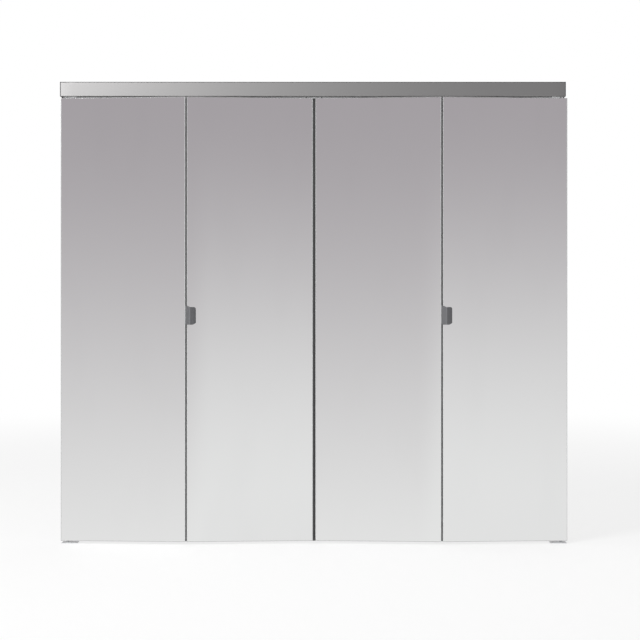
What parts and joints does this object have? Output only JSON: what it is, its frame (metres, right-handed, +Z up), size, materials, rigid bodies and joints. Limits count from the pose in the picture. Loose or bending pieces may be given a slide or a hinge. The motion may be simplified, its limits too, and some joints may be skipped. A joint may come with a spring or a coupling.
{
  "type": "bifold closet door",
  "caption": "Mirrored bifold closet door set: hinged mirror panels fold in pairs on pivots and run on guide wheels in a head track with a bright fascia.",
  "frame": {"origin": "on the track's top mounting face, over the middle of the door set, on the line of the pivots and guides", "axes": "+X to the right along the opening, +Y back into the closet (the mirrors face -Y), +Z up; the finished floor is at z = -2.032 m"},
  "size_m": [2.2336, 0.0842, 2.032],
  "materials": {
    "track_aluminium": "satin mill-finished aluminium extrusion",
    "fascia_chrome": "brushed bright chrome trim with a satin sheen",
    "cap_grey": "dark grey enamel on steel",
    "zinc": "bright zinc plate, fine satin",
    "black_vinyl": "matt dark grey vinyl",
    "bumper_rubber": "matt black rubber",
    "fibreboard": "fibreboard with a white melamine back and sealed edges",
    "mirror_glass": "silvered float glass, polished bevelled edge",
    "edge_chrome": "bright polished strip",
    "hinge_black": "black-enamelled steel, satin",
    "screw_steel": "zinc-plated steel",
    "nylon": "natural off-white nylon",
    "pin_steel": "turned steel",
    "spring_steel": "oiled spring wire",
    "pull_metal": "dark pewter satin enamel on cast zinc"
  },
  "bodies": {
    "header": {"top_track": "track_aluminium", "track_fascia": "fascia_chrome", "left_end_cap": "cap_grey", "right_end_cap": "cap_grey", "centre_bumper": "bumper_rubber", "centre_bumper_bolt": "screw_steel", "top_block_jack_screws": "screw_steel", "left_top_pivot_block": "zinc", "right_top_pivot_block": "zinc", "left_floor_plate": "zinc", "right_floor_plate": "zinc"},
    "left_pivot_panel": {"left_pivot_panel_core": "fibreboard", "left_pivot_panel_mirror": "mirror_glass", "left_pivot_panel_edge_strips": "edge_chrome", "left_pivot_side_hinge_leaves": "hinge_black", "left_pivot_side_hinge_screws": "hinge_black", "left_hinge_pins": "hinge_black", "left_fold_seal": "black_vinyl", "left_top_pivot_sleeve": "nylon", "left_top_pivot_spring": "spring_steel", "left_bottom_pivot_sleeve": "nylon", "left_bottom_pivot_pin": "pin_steel"},
    "left_lead_panel": {"left_lead_panel_core": "fibreboard", "left_lead_panel_mirror": "mirror_glass", "left_lead_panel_edge_strips": "edge_chrome", "left_lead_side_hinge_leaves": "hinge_black", "left_lead_side_hinge_screws": "hinge_black", "left_guide_sleeve": "nylon", "left_guide_spring": "spring_steel", "left_meeting_seal": "black_vinyl", "left_finger_pull": "pull_metal", "left_finger_pull_screws": "screw_steel"},
    "left_top_pin": {"left_top_pivot_pin": "pin_steel"},
    "left_guide_pin": {"left_guide_pin": "pin_steel"},
    "left_guide_wheel": {"left_guide_wheel": "nylon"},
    "right_pivot_panel": {"right_pivot_panel_core": "fibreboard", "right_pivot_panel_mirror": "mirror_glass", "right_pivot_panel_edge_strips": "edge_chrome", "right_pivot_side_hinge_leaves": "hinge_black", "right_pivot_side_hinge_screws": "hinge_black", "right_hinge_pins": "hinge_black", "right_fold_seal": "black_vinyl", "right_top_pivot_sleeve": "nylon", "right_top_pivot_spring": "spring_steel", "right_bottom_pivot_sleeve": "nylon", "right_bottom_pivot_pin": "pin_steel", "right_finger_pull": "pull_metal", "right_finger_pull_screws": "screw_steel"},
    "right_lead_panel": {"right_lead_panel_core": "fibreboard", "right_lead_panel_mirror": "mirror_glass", "right_lead_panel_edge_strips": "edge_chrome", "right_lead_side_hinge_leaves": "hinge_black", "right_lead_side_hinge_screws": "hinge_black", "right_guide_sleeve": "nylon", "right_guide_spring": "spring_steel", "right_meeting_seal": "black_vinyl"},
    "right_top_pin": {"right_top_pivot_pin": "pin_steel"},
    "right_guide_pin": {"right_guide_pin": "pin_steel"},
    "right_guide_wheel": {"right_guide_wheel": "nylon"}
  },
  "joints": [
    {"name": "left_pivot", "type": "hinge", "parent": "header", "child": "left_pivot_panel", "pos_m": [-1.08924, 0, 0], "axis": [0, 0, -1], "range_deg": [-3, 82]},
    {"name": "left_fold", "type": "hinge", "parent": "left_pivot_panel", "child": "left_lead_panel", "pos_m": [-0.56139, -0.01665, 0], "axis": [0, 0, -1], "range_deg": [-164, 6]},
    {"name": "left_top_pin_press", "type": "slide", "parent": "left_pivot_panel", "child": "left_top_pin", "axis": [0, 0, -1], "range_m": [0, 0.0125], "stiffness_N_per_m": 600, "springref_m": -0.01, "deforming": ["left_top_pivot_spring"]},
    {"name": "left_guide_pin_press", "type": "slide", "parent": "left_lead_panel", "child": "left_guide_pin", "axis": [0, 0, -1], "range_m": [0, 0.0091], "stiffness_N_per_m": 600, "springref_m": -0.01, "deforming": ["left_guide_spring"]},
    {"name": "left_guide_wheel_spin", "type": "hinge", "parent": "left_guide_pin", "child": "left_guide_wheel", "pos_m": [-0.03354, 0, 0], "axis": [0, 0, 1], "continuous": true},
    {"name": "right_pivot", "type": "hinge", "parent": "header", "child": "right_pivot_panel", "pos_m": [1.08924, 0, 0], "axis": [0, 0, 1], "range_deg": [-3, 82]},
    {"name": "right_fold", "type": "hinge", "parent": "right_pivot_panel", "child": "right_lead_panel", "pos_m": [0.56139, -0.01665, 0], "axis": [0, 0, 1], "range_deg": [-164, 6]},
    {"name": "right_top_pin_press", "type": "slide", "parent": "right_pivot_panel", "child": "right_top_pin", "axis": [0, 0, -1], "range_m": [0, 0.0125], "stiffness_N_per_m": 600, "springref_m": -0.01, "deforming": ["right_top_pivot_spring"]},
    {"name": "right_guide_pin_press", "type": "slide", "parent": "right_lead_panel", "child": "right_guide_pin", "axis": [0, 0, -1], "range_m": [0, 0.0091], "stiffness_N_per_m": 600, "springref_m": -0.01, "deforming": ["right_guide_spring"]},
    {"name": "right_guide_wheel_spin", "type": "hinge", "parent": "right_guide_pin", "child": "right_guide_wheel", "pos_m": [0.03354, 0, 0], "axis": [0, 0, 1], "continuous": true}
  ],
  "couplings": [
    {"joint": "left_fold", "follows": "left_pivot", "ratio": -2},
    {"joint": "right_fold", "follows": "right_pivot", "ratio": -2}
  ]
}
